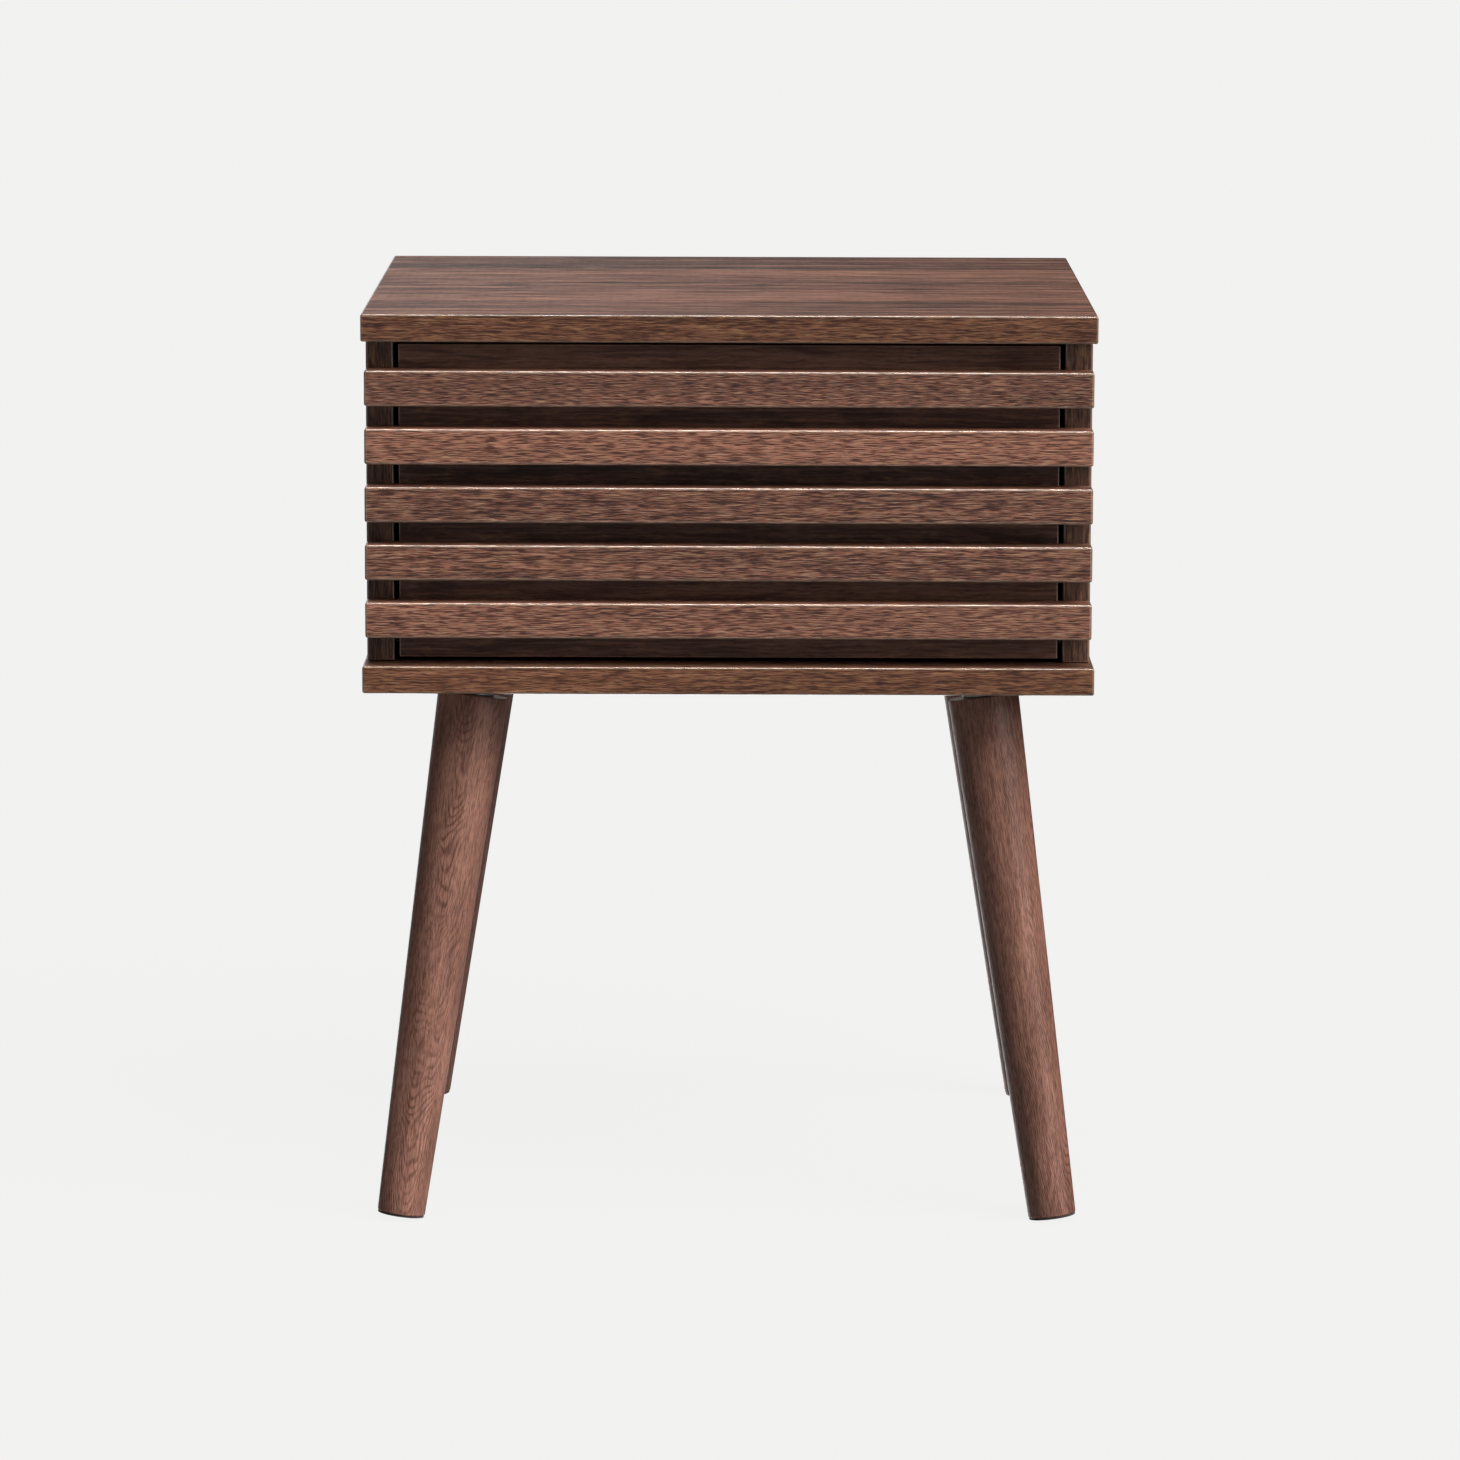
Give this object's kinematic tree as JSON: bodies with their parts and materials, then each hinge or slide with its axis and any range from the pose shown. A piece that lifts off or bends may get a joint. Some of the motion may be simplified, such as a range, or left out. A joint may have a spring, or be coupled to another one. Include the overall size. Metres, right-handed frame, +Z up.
{
  "type": "side table with drawer",
  "caption": "Walnut side table with a shallow drawer behind horizontal slats, on splayed, tapered round legs; the drawer runs on roller slides.",
  "frame": {"origin": "on the floor, below the middle of the table", "axes": "+Z up, the drawer front faces -Y, +X to the right when facing the front"},
  "size_m": [0.45, 0.4, 0.568],
  "materials": {
    "board_walnut": "satin lacquered walnut veneer on board",
    "slat_walnut": "satin lacquered walnut",
    "leg_walnut": "satin lacquered turned walnut",
    "birch_ply": "clear matt lacquered birch plywood",
    "hardboard": "smooth brown hardboard",
    "zinc_steel": "bright zinc plating",
    "rail_steel": "white-grey powder coat",
    "roller_nylon": "moulded natural nylon",
    "pad_felt": "thin black felt"
  },
  "bodies": {
    "cabinet": {"top_panel": "board_walnut", "bottom_panel": "board_walnut", "side_panel_left": "board_walnut", "side_panel_right": "board_walnut", "back_panel": "hardboard", "leg_front_left": "leg_walnut", "leg_front_right": "leg_walnut", "leg_back_left": "leg_walnut", "leg_back_right": "leg_walnut", "foot_pad_front_left": "pad_felt", "foot_pad_front_right": "pad_felt", "foot_pad_back_left": "pad_felt", "foot_pad_back_right": "pad_felt", "mounting_plate_front_left": "zinc_steel", "mounting_plate_front_right": "zinc_steel", "mounting_plate_back_left": "zinc_steel", "mounting_plate_back_right": "zinc_steel", "hanger_bolt_front_left": "zinc_steel", "hanger_bolt_front_right": "zinc_steel", "hanger_bolt_back_left": "zinc_steel", "hanger_bolt_back_right": "zinc_steel", "plate_screw_front_left_1": "zinc_steel", "plate_screw_front_left_2": "zinc_steel", "plate_screw_front_left_3": "zinc_steel", "plate_screw_front_left_4": "zinc_steel", "plate_screw_front_right_1": "zinc_steel", "plate_screw_front_right_2": "zinc_steel", "plate_screw_front_right_3": "zinc_steel", "plate_screw_front_right_4": "zinc_steel", "plate_screw_back_left_1": "zinc_steel", "plate_screw_back_left_2": "zinc_steel", "plate_screw_back_left_3": "zinc_steel", "plate_screw_back_left_4": "zinc_steel", "plate_screw_back_right_1": "zinc_steel", "plate_screw_back_right_2": "zinc_steel", "plate_screw_back_right_3": "zinc_steel", "plate_screw_back_right_4": "zinc_steel", "cabinet_rail_left": "rail_steel", "cabinet_rail_right": "rail_steel", "front_roller_pin_left": "zinc_steel", "front_roller_pin_right": "zinc_steel"},
    "drawer": {"drawer_front_panel": "board_walnut", "drawer_slat_1": "slat_walnut", "drawer_slat_2": "slat_walnut", "drawer_slat_3": "slat_walnut", "drawer_slat_4": "slat_walnut", "drawer_slat_5": "slat_walnut", "drawer_side_left": "birch_ply", "drawer_side_right": "birch_ply", "drawer_back": "birch_ply", "drawer_bottom": "birch_ply", "drawer_rail_left": "rail_steel", "drawer_rail_right": "rail_steel", "rear_roller_pin_left": "zinc_steel", "rear_roller_pin_right": "zinc_steel"},
    "front_roller_left": {"front_roller_left": "roller_nylon"},
    "front_roller_right": {"front_roller_right": "roller_nylon"},
    "rear_roller_left": {"rear_roller_left": "roller_nylon"},
    "rear_roller_right": {"rear_roller_right": "roller_nylon"}
  },
  "joints": [
    {"name": "drawer_slide", "type": "slide", "parent": "cabinet", "child": "drawer", "axis": [0, -1, 0], "range_m": [0, 0.26]},
    {"name": "front_roller_left_spin", "type": "hinge", "parent": "cabinet", "child": "front_roller_left", "pos_m": [-0.19975, -0.1517, 0.3741], "axis": [1, 0, 0], "continuous": true},
    {"name": "front_roller_right_spin", "type": "hinge", "parent": "cabinet", "child": "front_roller_right", "pos_m": [0.19975, -0.1517, 0.3741], "axis": [1, 0, 0], "continuous": true},
    {"name": "rear_roller_left_spin", "type": "hinge", "parent": "drawer", "child": "rear_roller_left", "pos_m": [-0.19975, 0.1746, 0.3715], "axis": [1, 0, 0], "continuous": true},
    {"name": "rear_roller_right_spin", "type": "hinge", "parent": "drawer", "child": "rear_roller_right", "pos_m": [0.19975, 0.1746, 0.3715], "axis": [1, 0, 0], "continuous": true}
  ],
  "couplings": [
    {"joint": "front_roller_left_spin", "follows": "drawer_slide", "rad_per_m": 111.11},
    {"joint": "front_roller_right_spin", "follows": "drawer_slide", "rad_per_m": 111.11},
    {"joint": "rear_roller_left_spin", "follows": "drawer_slide", "rad_per_m": 111.11},
    {"joint": "rear_roller_right_spin", "follows": "drawer_slide", "rad_per_m": 111.11}
  ]
}
